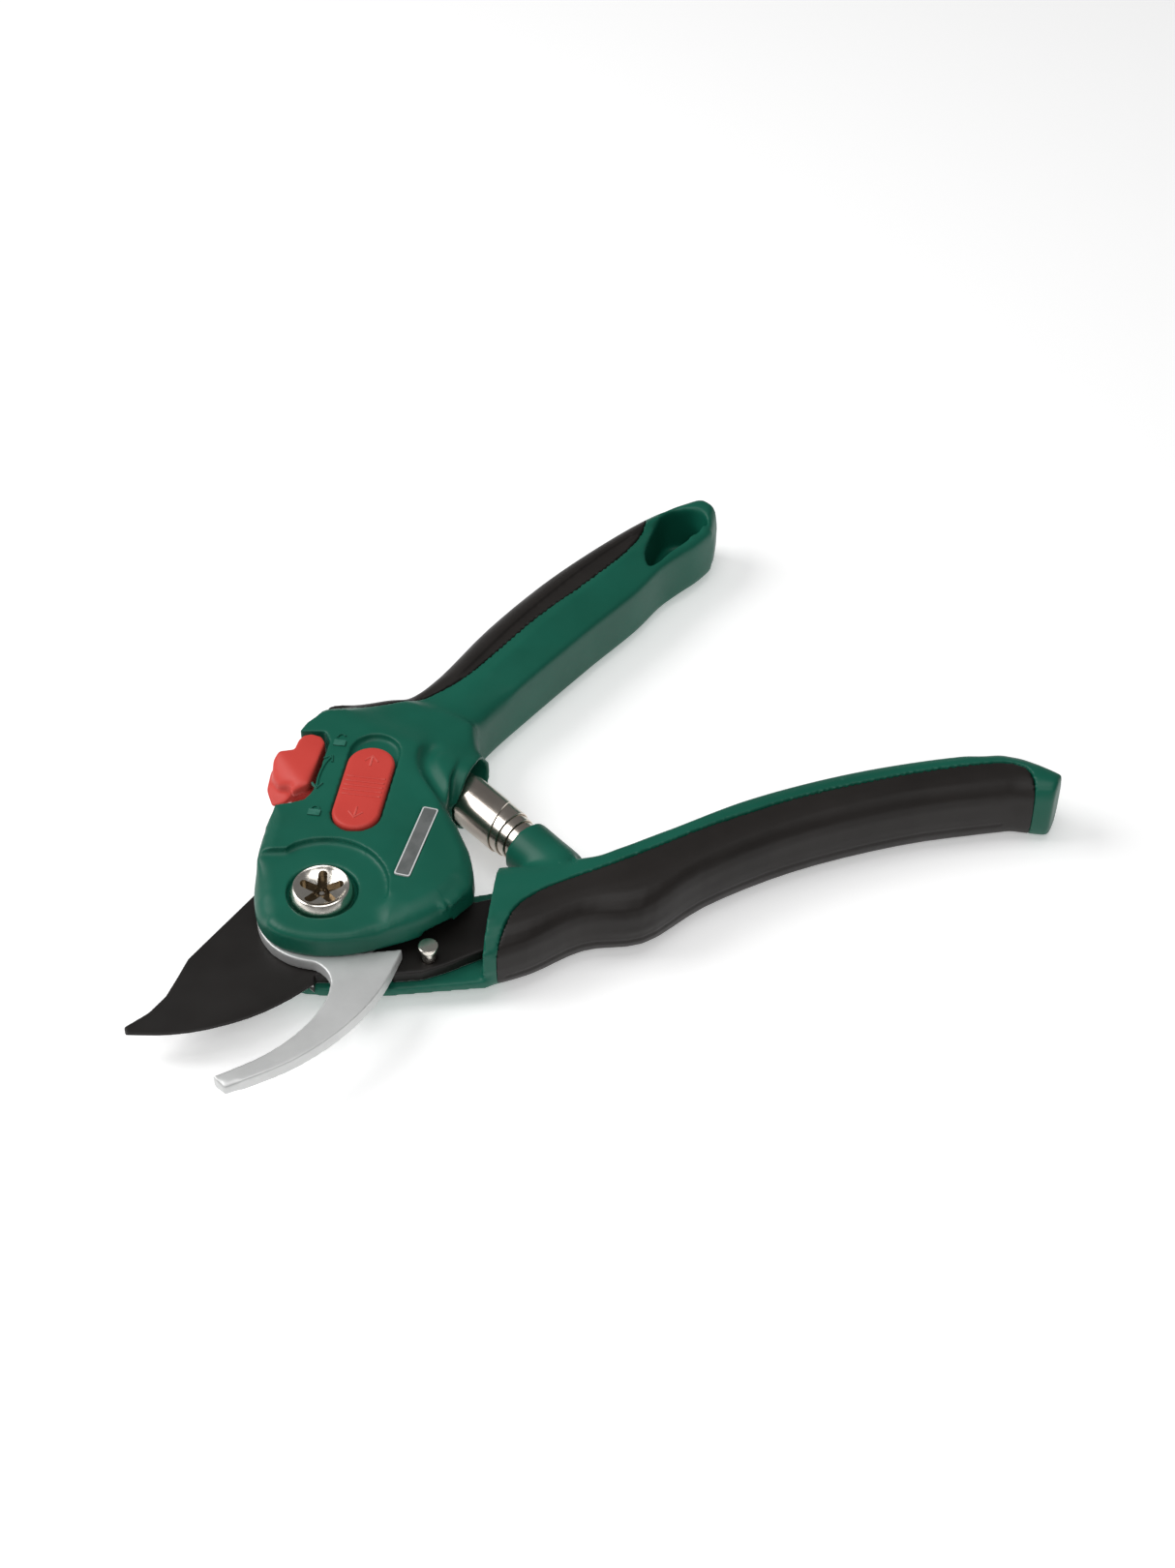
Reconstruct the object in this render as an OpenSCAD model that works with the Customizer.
// Bypass pruning shears, jaws open, lying flat: millimetres, +Z up.
// The origin is on the pivot axis, at the flat outer face of the pivot nut.
// From the bottom the pivot stacks nut, washer, lower handle plate, cutting blade, hook, head shell, bolt.

/* [Pivot] */
// Radius of the pivot bolt's shank
bolt_r = 4; // [3.5:0.1:4.2]
// Radius of the bolt head's rim
bolt_rim_r = 5.95; // [5.5:0.05:6.2]
// Opening angle of the handles, from closed to fully open
opening = 30; // [26:1:30]
// Turning clearance between the bolt and its bushing
fit = 0.05; // [0.03:0.01:0.1]

/* [Layers] */
// Thickness of the lower handle's plate under the blade
plate_t = 6.5; // [5.5:0.1:6.5]
// Thickness of the cutting blade
blade_t = 3; // [2.5:0.1:3]
// Thickness of the hook
hook_t = 3; // [2.5:0.1:3]
// Thickness of the head shell over the hook
shell_t = 7.5; // [7:0.1:8]

/* [Handles] */
// Height of the upper handle
upper_h = 17.2; // [15:0.1:18]
// Height of the lower handle
lower_h = 16.6; // [15:0.1:17.5]
// Radius of the hanging hole
hang_r = 4; // [3:0.1:4.2]

/* [Spring] */
// Outer radius of the spring at its middle
spring_r = 5.5; // [5:0.1:5.8]
// Distance from the pivot to the middle of both spring seats
seat_arm = 49.3; // [49:0.1:50]

/* [Sliders] */
// Travel of the lock and of the opening limiter
slide_travel = 4.2; // [3.5:0.1:4.2]
// Tilt of both sliders from the Y axis
slide_tilt = 9; // [8:0.5:10]

/* [Hidden] */
$fn = 72;

// Heights of the layers
gap = 0.05;
blade_z = plate_t;
hook_z = blade_z + blade_t;
shell_z = hook_z + hook_t;
top_z = shell_z + shell_t;
land_z = top_z - 1.5;
bolt_top_z = top_z + 0.3;
under_z = 0.3;
through = 60;

// Radii about the pivot
shell_hole_r = 7.6;
bolt_skirt_r = 6.75;
land_r = 14;
nut_r = 9;
bushing_r = 5.5;
disc_r = 15;
hook_disc_r = 14;
rim_in_r = 26.8;
rim_out_r = 29.3;
bevel_w = 4.5;
edge_land = 0.3;
edge_steps = 12;
cheek_r = 30.6;

// Spring: its axis lies at spring_z, spring_off from the pivot, square to the direction spring_angle.
// Both seats are seat_arm from the pivot, so the spring tilts by half of what the handles turn.
spring_z = 10;
spring_angle = 42.1;
spring_off = 45.05;
half_length = sqrt(seat_arm * seat_arm - spring_off * spring_off);
seat_half_angle = acos(spring_off / seat_arm);
seat_gap = 0.9;
socket_at = [30.1, 37.1];
socket_angle = 156.5;
socket_r = 7.4;
socket_wall_r = 8.4;
cup_r = 5.2;
cup_wall_r = 6;
cup_depth = half_length - 12.4;
nub_r = 1.7;

// Sliders: the peg under each one reaches down to the blade
peg_r = 1.5;
slide_axis = [sin(slide_tilt), cos(slide_tilt)];
lock_peg_at = [-4.2, 19];
limiter_peg_at = [5.6, 19.5];
button_at = [7, 28.6];
button_len = 24.8;
button_w = 10.4;
recess_z = top_z - 1.4;
button_top_z = top_z + 0.8;
pocket_z = shell_z + 3;

// Outlines, by hand. Splines round the long curves.
head_front = [[-13, 19.8], [-14.2, 12], [-14.6, 3], [-13.2, -4.8], [-9.6, -9.8], [-4.6, -12.2],
              [1, -13], [7, -12.5], [13.4, -10.6], [20.4, -7.8], [26.5, -3.8]];
head_side = [[31.2, 1.6], [31.5, 5], [30.2, 11], [27.6, 18], [24.9, 24.5], [25.4, 33.4]];
head_back = [[30.5, 52.5], [21, 64.5], [16, 60.4], [9.4, 57.8], [-2.4, 55]];
spine_back = [[30.5, 54.5], [21.5, 69], [16.4, 63.6], [10, 60.8], [-2.6, 57.4]];
lever_notch = [[-3.9, 54.2], [-7, 49], [-9.2, 44.6], [-7.4, 46], [-3.2, 46], [-1.6, 43.4],
               [-4.2, 29], [-5.4, 25.6], [-9.4, 24.2], [-12, 22.8]];
upper_inner = [[27, 46], [33, 56.6], [41.6, 68], [55.6, 85.5], [66.6, 98.6], [73.6, 108.6], [81.8, 116.6],
               [86.2, 122.4]];
upper_outer = [[2, 58.8], [11, 61.4], [19, 68], [30.2, 85.6], [42.2, 101.2], [54.4, 114], [66.4, 125],
               [74.6, 130.6]];
upper_cap = [[81.8, 133], [87, 129]];
lower_inner = [[36.4, 12.3], [47, 13], [58, 14], [72, 20.8], [90, 30], [110, 37.2], [130, 42], [150.6, 45]];
lower_outer = [[33.4, -14.2], [43, -10.4], [54, -3.6], [67, -1.6], [80, 9], [100, 19.6], [125, 27.8],
               [148, 31.8]];
lower_cap = [[159.4, 38.2], [156.4, 31.2]];
blade_edge = [[-37.9, -30.8], [-30, -30.9], [-22, -29.6], [-13, -26.3], [-6, -21.9], [-1, -17.6]];
blade_back = [[-27.6, -10.6], [-29.2, -15.5], [-31, -20.6], [-34, -25], [-38.4, -28.7]];
hook_inner = [[-4.6, -13.2], [-0.8, -14.2], [1.8, -16.6], [2.8, -20], [1.6, -25.4], [-2.2, -31.8],
              [-9, -38.3], [-18.6, -43.8]];
hook_outer = [[-16.2, -46.6], [-8.6, -42.9], [-2.2, -39.1], [4, -33.8], [9.2, -27.8], [13.6, -20.4],
              [17, -10.6]];
hook_tab = [[17.6, -5.5], [19, 0], [19, 12], [20, 24], [19, 36], [14, 44], [2, 44], [-1, 30], [-9, 20],
            [-13, 10]];

// A smooth curve through a list of points, at t from 0 to 1
function span(p, t) = min(floor(t * (len(p) - 1)), len(p) - 2);
function at(p, i) = p[max(0, min(i, len(p) - 1))];
function blend(a, b, c, d, u) =
    0.5 * (2 * b + (c - a) * u + (2 * a - 5 * b + 4 * c - d) * u * u + (3 * b - a - 3 * c + d) * u * u * u);
function spline(p, t) =
    let (i = span(p, t), u = t * (len(p) - 1) - i) blend(at(p, i - 1), p[i], p[i + 1], at(p, i + 2), u);
function curve(p, n) = [for (i = [0 : n]) spline(p, i / n)];
function polar(r, a) = [r * cos(a), r * sin(a)];
function arc(r, a, b, n = 12) = [for (i = [0 : n]) polar(r, a + (b - a) * i / n)];

// Handle sections: a rounded box between the inner and the outer edge, split where the grip starts
section_power = 3.2;
section_steps = 12;
full_turn = 345;
skin_t = 2.4;
spine_inner = 0.1;
spine_outer = 0.83;
spine_steps = 16;
upper_grip_end = 0.93;
lower_grip_end = 0.985;
handle_steps = 28;
function power(x, k) = sign(x) * pow(abs(x), k);
function split_angle(share) = acos(power(2 * share - 1, section_power / 2));
function section_point(a, b, low, high, angle) =
    let (u = 0.5 + 0.5 * power(cos(angle), 2 / section_power))
    let (v = 0.5 + 0.5 * power(sin(angle), 2 / section_power))
    [a.x + (b.x - a.x) * u, a.y + (b.y - a.y) * u, low + (high - low) * v];
function section(a, b, low, high, from, to) =
    [for (i = [0 : section_steps]) section_point(a, b, low, high, from + (to - from) * i / section_steps)];

function reversed(list) = [for (i = [len(list) - 1 : -1 : 0]) list[i]];
function turns_left(inner, outer) = cross(inner[1] - inner[0], outer[0] - inner[0]) > 0;

// Closes a row of rings of points into one solid
module skin(rings) {
    n = len(rings[0]);
    last = len(rings) - 1;
    points = [for (ring = rings) for (p = ring) p];
    sides = [for (r = [0 : last - 1]) for (i = [0 : n - 1])
        let (a = r * n + i, b = r * n + (i + 1) % n) each [[a, b, a + n], [b, b + n, a + n]]];
    ends = [[for (i = [n - 1 : -1 : 0]) i], [for (i = [0 : n - 1]) last * n + i]];
    polyhedron(points, concat(sides, ends), convexity = 6);
}

// Share of the handle's width, from its inner edge, at which the grip begins
function upper_split(t) = t < 0.2 ? 0.92 - t : 0.7 + 0.02 * t;
function lower_split(t) = t < 0.12 ? 0.3 + t * 0.5 : 0.36 - 0.1 * t;
upper_splits = [for (i = [0 : handle_steps]) upper_split(i / handle_steps)];
lower_splits = [for (i = [0 : handle_steps]) lower_split(i / handle_steps)];
whole_splits = [for (i = [0 : handle_steps]) 0.02];

// Runs along a handle: the core is the inner part of each section and the grip the outer part
module handle_part(inner, outer, high, splits, to, is_grip) {
    rings = [for (i = [0 : handle_steps])
        let (t = to * i / handle_steps, s = split_angle(splits[i]))
        section(spline(inner, t), spline(outer, t), under_z, high, is_grip ? -s : s, is_grip ? s : 360 - s)];
    skin(turns_left(inner, outer) ? reversed(rings) : rings);
}

// Runs inside the grip, which is a soft skin around it and over its end
module spine(inner, outer, high, grip_end) {
    from = 0.02;
    to = grip_end - 0.015;
    low = under_z + skin_t;
    rings = [for (i = [0 : spine_steps])
        let (t = from + (to - from) * i / spine_steps, a = spline(inner, t), b = spline(outer, t))
        section(a + spine_inner * (b - a), a + spine_outer * (b - a), low, high - skin_t, 0, full_turn)];
    skin(turns_left(inner, outer) ? reversed(rings) : rings);
}

module disc(radius, low, high, at = [0, 0]) {
    translate([at.x, at.y, low]) cylinder(r = radius, h = high - low);
}

module slab(outline, low, high) {
    translate([0, 0, low]) linear_extrude(high - low) polygon(outline);
}

// A slot with round ends, from one point to another
module slot(from, to, radius, low, high) {
    step = to - from;
    translate([from.x, from.y, low]) rotate(atan2(step.y, step.x)) {
        rotate(180) cylinder(r = radius, h = high - low);
        translate([norm(step), 0, 0]) cylinder(r = radius, h = high - low);
        translate([0, -radius, 0]) cube([norm(step), 2 * radius, high - low]);
    }
}

// A round bar from a point, level at spring_z, running towards an angle
module bar(from, angle, radius, length) {
    translate([from.x, from.y, spring_z]) rotate(angle) rotate([0, 90, 0]) cylinder(r = radius, h = length);
}

upper_seat = polar(seat_arm, spring_angle + seat_half_angle);
lower_seat = polar(seat_arm, spring_angle - seat_half_angle);

head_outline = concat(curve(head_front, 30), head_side, head_back, lever_notch);

module upper_handle() {
    color("#0f5c48") difference() {
        union() {
            slab(head_outline, shell_z, top_z - 0.9);
            head_cap();
            cheek();
            upper_core();
            bar(socket_at, socket_angle, socket_wall_r, 13);
        }
        head_cuts();
        difference() {
            spring_socket();
            bar(upper_seat, spring_angle - 90, nub_r, 2.5);
        }
        hanging_hollow();
        upper_grip_skin();
        pin_groove();
    }
}

// Clears the stop pin as it passes under the head; its end is the closed stop
module pin_groove() {
    translate([0, 0, shell_z - 1]) rotate(-50) rotate_extrude(angle = 60.8)
        translate([pin_arm - 2.5, 0]) square([5, 2.3]);
}

cheek_front = [[10, 30], [24.9, 32.6], [31, 44]];

// Full height behind the blade's sweep, stepped down at the back
module cheek() {
    difference() {
        slab(concat(cheek_front, spine_back, lever_notch, [[-12.6, 20]]), under_z + 0.5, upper_h);
        disc(cheek_r, -1, shell_z + 1);
    }
}

cap_back = [[21.5, 29], [18.4, 35], [17.6, 39], [19, 44], [21, 50], [17, 58.4], [9, 56], [-2, 53.4]];

// The raised top of the head, set in from its flanks
module head_cap() {
    front = [for (p = curve(head_front, 30)) p * 0.955];
    side = [for (i = [2 : 4]) head_side[i] - [1, 0]];
    notch = [for (p = lever_notch) [p.x, min(p.y, 52.6)]];
    slab(concat(front, [[29.4, 2.6], [30, 5]], side, cap_back, notch), top_z - 1, top_z);
}

module upper_core() {
    handle_part(upper_inner, upper_outer, upper_h, upper_splits, upper_grip_end, false);
    spine(upper_inner, upper_outer, upper_h, upper_grip_end);
    end_cap(upper_inner, upper_outer, upper_grip_end, upper_cap[1], upper_cap[0], upper_h);
}

// The handle beyond the end of its grip, on to its blunt end
module end_cap(inner, outer, from, inner_end, outer_end, high) {
    rings = concat([for (i = [0 : 4]) let (t = from + (1 - from) * i / 4)
        section(spline(inner, t), spline(outer, t), under_z, high, 0, full_turn)],
        [section(inner_end, outer_end, under_z, high, 0, full_turn)]);
    skin(turns_left(inner, outer) ? reversed(rings) : rings);
}

// The land about the bolt runs out to the head's front edge, which has no rim
land_front = [[-17, 11], [-8.6, 11], [0, 0], [13.9, -5.6], [14.6, -16], [-17, -16]];

module head_cuts() {
    disc(land_r, land_z, top_z + 1);
    slab(land_front, land_z, top_z + 1);
    disc(shell_hole_r, top_z - 3.6, top_z + 1);
    disc(bolt_r + fit, shell_z - 1, top_z);
    slab(hook_tab_outline(0.15), hook_z - gap, shell_z + 0.01);
    half = (button_len - button_w) / 2;
    slot(button_at - slide_axis * half, button_at + slide_axis * (half + slide_travel), button_w / 2 + 0.3,
        recess_z, top_z + 1);
    slot(limiter_peg_at, limiter_peg_at + slide_axis * slide_travel, 3.3, shell_z - 1, top_z);
    slot(lock_peg_at - slide_axis * slide_travel, lock_peg_at + slide_axis * 12.5, 3.3, shell_z - 1,
        pocket_z);
    lever_bay();
    translate([19.1, 12.9, top_z - 0.6]) rotate(-15.2) translate([-1.9, -10.3, 0]) cube([3.8, 20.6, 2]);
    for (at = rivet_at) {
        disc(3.2, shell_z - 1, shell_z + 1.8, at);
        disc(1.6, hook_z - 3.1, shell_z, at);
    }
    detent_pockets();
}

rivet_at = [[4.6, 40.8], [15.5, 35]];

// Room for the lock lever's foot, open to the spine
module lever_bay() {
    slab([[-18, 23.2], [-12.4, 22.9], [-9.4, 24.2], [-5.4, 25.8], [-4, 28], [-1.4, 43.4], [-2.6, 46.4],
        [-18, 46.4]], shell_z, top_z + 1);
}

module detent_pockets() {
    translate([-0.9, 33, shell_z - 0.5]) rotate(-slide_tilt) cube([1.2, 9, 3]);
    translate([9.3, 19.8, shell_z - 0.5]) rotate(-slide_tilt) cube([1.2, 9, 4]);
}

function hook_tab_outline(grow) = [for (p = hook_tab) p + grow * p / norm(p)];

// Mouth of the socket, and room for the spring as it tilts about its seat
module spring_socket() {
    bar(socket_at - 8 * polar(1, socket_angle), socket_angle, socket_r, 17);
    bar(upper_seat, spring_angle - 90, 5.9, half_length);
    bar(upper_seat, spring_angle - 90 + opening / 2, 5.4, half_length);
}

// Tapered hollow at the handle's end, with the round hanging hole at its bottom
module hanging_hollow() {
    disc(hang_r, -1, through, [78, 119.5]);
    translate([0, 0, upper_h - 9]) hull() {
        for (at = [[76, 118], [80, 121.5]])
            translate([at.x, at.y, 0]) cylinder(r = hang_r + 0.4, h = 0.1, $fn = 32);
        for (at = [[72.6, 108.5], [74.4, 123], [81.4, 125.4], [82, 120]])
            translate([at.x, at.y, 9]) cylinder(r = 2.6, h = 1, $fn = 32);
    }
}

module upper_grip_skin() {
    difference() {
        handle_part(upper_inner, upper_outer, upper_h, upper_splits, upper_grip_end, true);
        spine(upper_inner, upper_outer, upper_h, upper_grip_end);
    }
}

module upper_grip() {
    color("#302b29") upper_grip_skin();
}

module hook_blade() {
    color("#c4c6c6") difference() {
        union() {
            disc(hook_disc_r, hook_z, shell_z);
            slab(hook_tab, hook_z, shell_z);
            slab(concat(curve(hook_inner, 28), curve(hook_outer, 28)), hook_z, shell_z);
        }
        disc(bolt_r + 0.02, -1, through);
        slot(lock_peg_at - slide_axis * slide_travel, lock_peg_at, peg_r + 0.35, -1, through);
        slot(limiter_peg_at, limiter_peg_at + slide_axis * slide_travel, peg_r + 0.35, -1, through);
        for (at = rivet_at) disc(1.6, -1, through, at);
    }
}

module hook_rivets() {
    color("#b9b4a8") for (at = rivet_at) {
        disc(1.58, hook_z - 3, shell_z + 1.5, at);
        disc(3, shell_z + gap, shell_z + 1.6, at);
    }
}

// Bolt head with a conical skirt, a raised rim round a shallow dish, and a five-armed recess
module pivot_bolt() {
    skirt_z = top_z - 1.8;
    color("#d8cfc0") difference() {
        union() {
            disc(bolt_r, 1, skirt_z);
            disc(bolt_skirt_r, skirt_z - 1.7, skirt_z);
            translate([0, 0, skirt_z])
                cylinder(r1 = bolt_skirt_r, r2 = bolt_rim_r, h = bolt_top_z - skirt_z);
        }
        translate([0, 0, bolt_top_z - 0.9]) cylinder(r1 = 1.5, r2 = bolt_rim_r - 0.7, h = 0.901);
        for (turn = [17 : 72 : 305]) rotate(turn)
            translate([0.8, -0.8, bolt_top_z - 1.6]) cube([3.8, 1.6, 2]);
        disc(1.5, bolt_top_z - 3, bolt_top_z);
    }
}

module pivot_nut() {
    color("#b8b0a4") difference() {
        union() {
            disc(nut_r, 0.6, 3);
            cylinder(r1 = nut_r - 0.6, r2 = nut_r, h = 0.6);
        }
        disc(bolt_r + 0.02, 0.8, 4);
        for (side = [-1, 1]) disc(1, -1, 1.8, [side * 6.4, 0]);
    }
}

module pivot_washer() {
    color("#cfc9be") difference() {
        disc(nut_r - 0.4, 3, 3.9);
        disc(bolt_r + 0.1, 2, 5);
    }
}

module badge() {
    color("#dfe3e0") translate([19.1, 12.9, top_z - 0.6]) rotate(-15.2) difference() {
        translate([-1.75, -10.15, 0]) cube([3.5, 20.3, 0.75]);
        translate([-1.35, -9.75, 0.65]) cube([2.7, 19.5, 1]);
    }
}

// Thumb lever on the spine: a cap in the notch, a foot below it and a tongue that carries the peg
module lock_lever() {
    foot_z = shell_z + 0.25;
    color("#d04842") difference() {
        union() {
            slab([[-9, 40.4], [-8.2, 43.6], [-7.2, 45], [-5.4, 45.5], [-3.2, 44.6], [-2.3, 42.8],
                [-4.9, 29.9], [-8.9, 28.9]], foot_z, top_z + 0.2);
            slab([[-8, 29.4], [-13.2, 28.8], [-14.8, 33.6], [-14.2, 38], [-12.4, 40.3], [-8, 40.9]],
                foot_z + 1, top_z - 3.4);
            slab([[-8, 30.8], [-12, 32], [-13.6, 35], [-13.4, 38.4], [-12.2, 40.2], [-8, 40.9]],
                foot_z + 1, top_z + 0.2);
            slot(lock_peg_at, lock_peg_at + slide_axis * 12, 2.8, foot_z, pocket_z - 0.3);
        }
        disc(peg_r + 0.02, 0, pocket_z - 1, lock_peg_at);
    }
}

module lock_peg() {
    color("#b9b4a8") disc(peg_r, blade_z + 0.2, pocket_z - 1.05, lock_peg_at);
}

module limiter_peg() {
    color("#b9b4a8") disc(peg_r, blade_z + 0.2, top_z - 3, limiter_peg_at);
}

// Leaf springs that hold each slider at the ends of its travel
module lock_detent_spring() {
    color("#b9b4a8") translate([-0.7, 33.3, shell_z + 0.1]) rotate(-slide_tilt) {
        cube([0.4, 8, 2]);
        translate([0.38, 3, 0]) cube([0.4, 2, 2]);
    }
}

module limiter_detent_spring() {
    color("#b9b4a8") translate([9.5, 20.1, shell_z + 0.1]) rotate(-slide_tilt) {
        cube([0.4, 8, 3]);
        translate([0.38, 3, 0]) cube([0.4, 2, 3]);
    }
}

// Oval button with raised ribs across its middle and a stem that carries the peg
module limiter_button() {
    half = (button_len - button_w) / 2;
    color("#d04842") difference() {
        union() {
            slot(button_at - slide_axis * half, button_at + slide_axis * half, button_w / 2, recess_z + 0.2,
                button_top_z - 0.3);
            slot(button_at - slide_axis * half, button_at + slide_axis * half, button_w / 2 - 0.4,
                button_top_z - 0.4, button_top_z - 0.15);
            disc(2.9, shell_z + 0.25, recess_z + 0.3, limiter_peg_at);
            translate([button_at.x, button_at.y, button_top_z - 0.3]) rotate(-slide_tilt)
                for (row = [-2 : 2]) translate([-4, row * 1.3 - 0.3, 0]) cube([8, 0.6, 0.3]);
        }
        disc(peg_r + 0.02, 0, top_z - 2.9, limiter_peg_at);
    }
}

module lower_handle() {
    color("#0f5c48") difference() {
        union() {
            lower_plate();
            handle_part(lower_inner, lower_outer, lower_h, lower_splits, lower_grip_end, false);
            spine(lower_inner, lower_outer, lower_h, lower_grip_end);
            intersection() {
                handle_part(lower_inner, lower_outer, lower_h, whole_splits, 0.1, true);
                front_frame();
            }
            end_cap(lower_inner, lower_outer, lower_grip_end, lower_cap[0], lower_cap[1], lower_h);
            bar(lower_seat + polar(cup_depth, spring_angle + 90), spring_angle - 90, cup_wall_r,
                cup_depth + 5);
        }
        difference() {
            bar(lower_seat, spring_angle + 90, cup_r, half_length);
            bar(lower_seat, spring_angle + 90, nub_r, 2.5);
        }
        lower_grip_skin();
        disc(nut_r + 0.3, -1, 4);
        disc(bushing_r + 0.02, 0, 10);
        slab(tang_outline, blade_z, hook_z);
        for (at = tang_rivet_at) disc(2.02, 3, lower_h - 3.9, at);
        disc(2.05, 4, 10, pin_at);
    }
}

pin_at = [22.3, -10.4];
pin_arm = norm(pin_at);
tang_rivet_at = [[44, 2.5], [55, 5]];

// Plate under the blade, from the round boss at the pivot to the handle
module lower_plate() {
    edge = concat(arc(16.4, 120, 268, 24), [[5, -16.9], [14, -16.6], [34.2, -14.4], [40, -10], [40, 10.5],
        [36.5, 11], [27, 9], [14, 9]], arc(16.4, 33, 118, 10));
    slab([for (p = edge) [p.x < 34 ? p.x * 0.93 : p.x, p.y * 0.72]], under_z, under_z + 2.1);
    slab([for (p = edge) [p.x < 34 ? p.x * 0.97 : p.x, p.y * 0.88]], under_z + 2, under_z + 4.1);
    slab(edge, under_z + 4, plate_t);
}

module lower_grip_skin() {
    difference() {
        handle_part(lower_inner, lower_outer, lower_h, lower_splits, lower_grip_end, true);
        spine(lower_inner, lower_outer, lower_h, lower_grip_end);
        front_frame();
    }
}

module lower_grip() {
    color("#302b29") lower_grip_skin();
}

// Green face at the front of the lower handle, in front of the grip
module front_frame() {
    slab([[30, 16], [37.4, 16], [35.2, -16], [30, -16]], 0, lower_h);
}

tang_outline = [[12, -10], [15, -14.8], [21, -14.2], [26, -12.2], [33, -8.5], [44, -4], [56, 0], [61, 4],
                [59, 8], [50, 9], [36, 6.7], [31.5, 5.3], [22, 8], [12, 8]];

// Blade, base disc, limiter window and tang are one plate
module cutting_blade() {
    color("#262220") difference() {
        union() {
            disc(disc_r, blade_z, hook_z - gap);
            bevelled_blade();
            slab(tang_outline, blade_z + 0.01, hook_z - gap);
            lock_lug();
            limiter_arm();
        }
        disc(bushing_r, -1, through);
        for (turn = [0, -opening]) rotate(turn) slot(lock_peg_at - slide_axis * slide_travel, lock_peg_at,
            peg_r + 0.4, -1, through);
        disc(1.55, -1, through, pin_at);
        for (at = tang_rivet_at) disc(2.02, -1, through, at);
    }
}

// The blade ahead of its base: the underside is ground away along the cutting edge
module bevelled_blade() {
    edge = curve(blade_edge, edge_steps);
    root = [[-1, -13], [-8, 0], [-13.4, 6.4], [-15.4, 7.6]];
    difference() {
        slab(concat(root, blade_back, edge), blade_z, hook_z - gap);
        for (i = [0 : edge_steps - 1]) ground_flat(edge[i], edge[i + 1]);
    }
}

// One flat of the bevel: everything under a plane that falls away from the edge
module ground_flat(from, to) {
    along = to - from;
    translate([from.x, from.y, hook_z - gap - edge_land]) rotate(atan2(along.y, along.x))
        rotate([-atan((blade_t - edge_land) / bevel_w), 0, 0]) translate([-0.3, -8, -8])
        cube([norm(along) + 0.3, 16, 8]);
}

// Lug between the lock peg's two notches, which stops the peg in between
module lock_lug() {
    slab(concat(arc(12, 86, 101, 4), arc(17, 101, 86, 6)), blade_z, hook_z - gap);
}

// Arm and rim around the limiter peg's window, with the tooth that shortens the opening
module limiter_arm() {
    slab(concat(arc(rim_in_r, 38, 64, 10), arc(rim_out_r, 64, 30, 12), [polar(14, 28)], [polar(14, 38)]),
        blade_z, hook_z - gap);
    slab(concat(arc(rim_in_r - 4.3, 56.5, 64, 3), arc(rim_in_r + 0.5, 64, 56.5, 3)), blade_z, hook_z - gap);
}

module tang_rivets() {
    color("#b9b4a8") for (at = tang_rivet_at) disc(2, 3, lower_h - 4, at);
}

module pivot_bushing() {
    color("#cfc9be") difference() {
        disc(bushing_r, 4.1, hook_z - gap);
        disc(bolt_r + fit, 0, through);
    }
}

// Rubber-topped stop pin riveted through the tang
module stop_pin() {
    color("#d8cfc0") {
        disc(2, 4.5, blade_z, pin_at);
        disc(1.55, blade_z - 0.1, hook_z + 2.8, pin_at);
        disc(2.1, hook_z + 2.7, hook_z + 3.9, pin_at);
    }
}

// Volute spring of flat strip: a wide middle coil, with smaller coils stepping down to both seats
module return_spring() {
    length = 2 * (half_length - seat_gap);
    start = upper_seat + polar(seat_gap, spring_angle - 90);
    color("#cfc4b4") translate([start.x, start.y, spring_z]) rotate(spring_angle - 90) rotate([0, 90, 0])
        rotate_extrude() polygon(volute_profile(length));
}

// Outside of the spring in steps, as share of the length and radius, round a bore along its axis
coil_steps = [[0, 3.4], [0.1, 4.1], [0.2, 4.8], [0.3, spring_r], [0.68, 5], [0.77, 4.5], [0.86, 4],
              [0.94, 3.4], [1, 3.4]];
spring_bore_r = 2.2;
function volute_profile(l) = concat([[spring_bore_r, 0]], [for (i = [0 : len(coil_steps) - 2])
    let (r = coil_steps[i][1])
    each [[r, l * coil_steps[i][0]], [r, l * coil_steps[i + 1][0]]]], [[spring_bore_r, l]]);

upper_handle();
upper_grip();
hook_blade();
hook_rivets();
pivot_bolt();
pivot_nut();
pivot_washer();
badge();
lock_lever();
lock_peg();
lock_detent_spring();
limiter_button();
limiter_peg();
limiter_detent_spring();
lower_handle();
lower_grip();
cutting_blade();
tang_rivets();
pivot_bushing();
stop_pin();
return_spring();
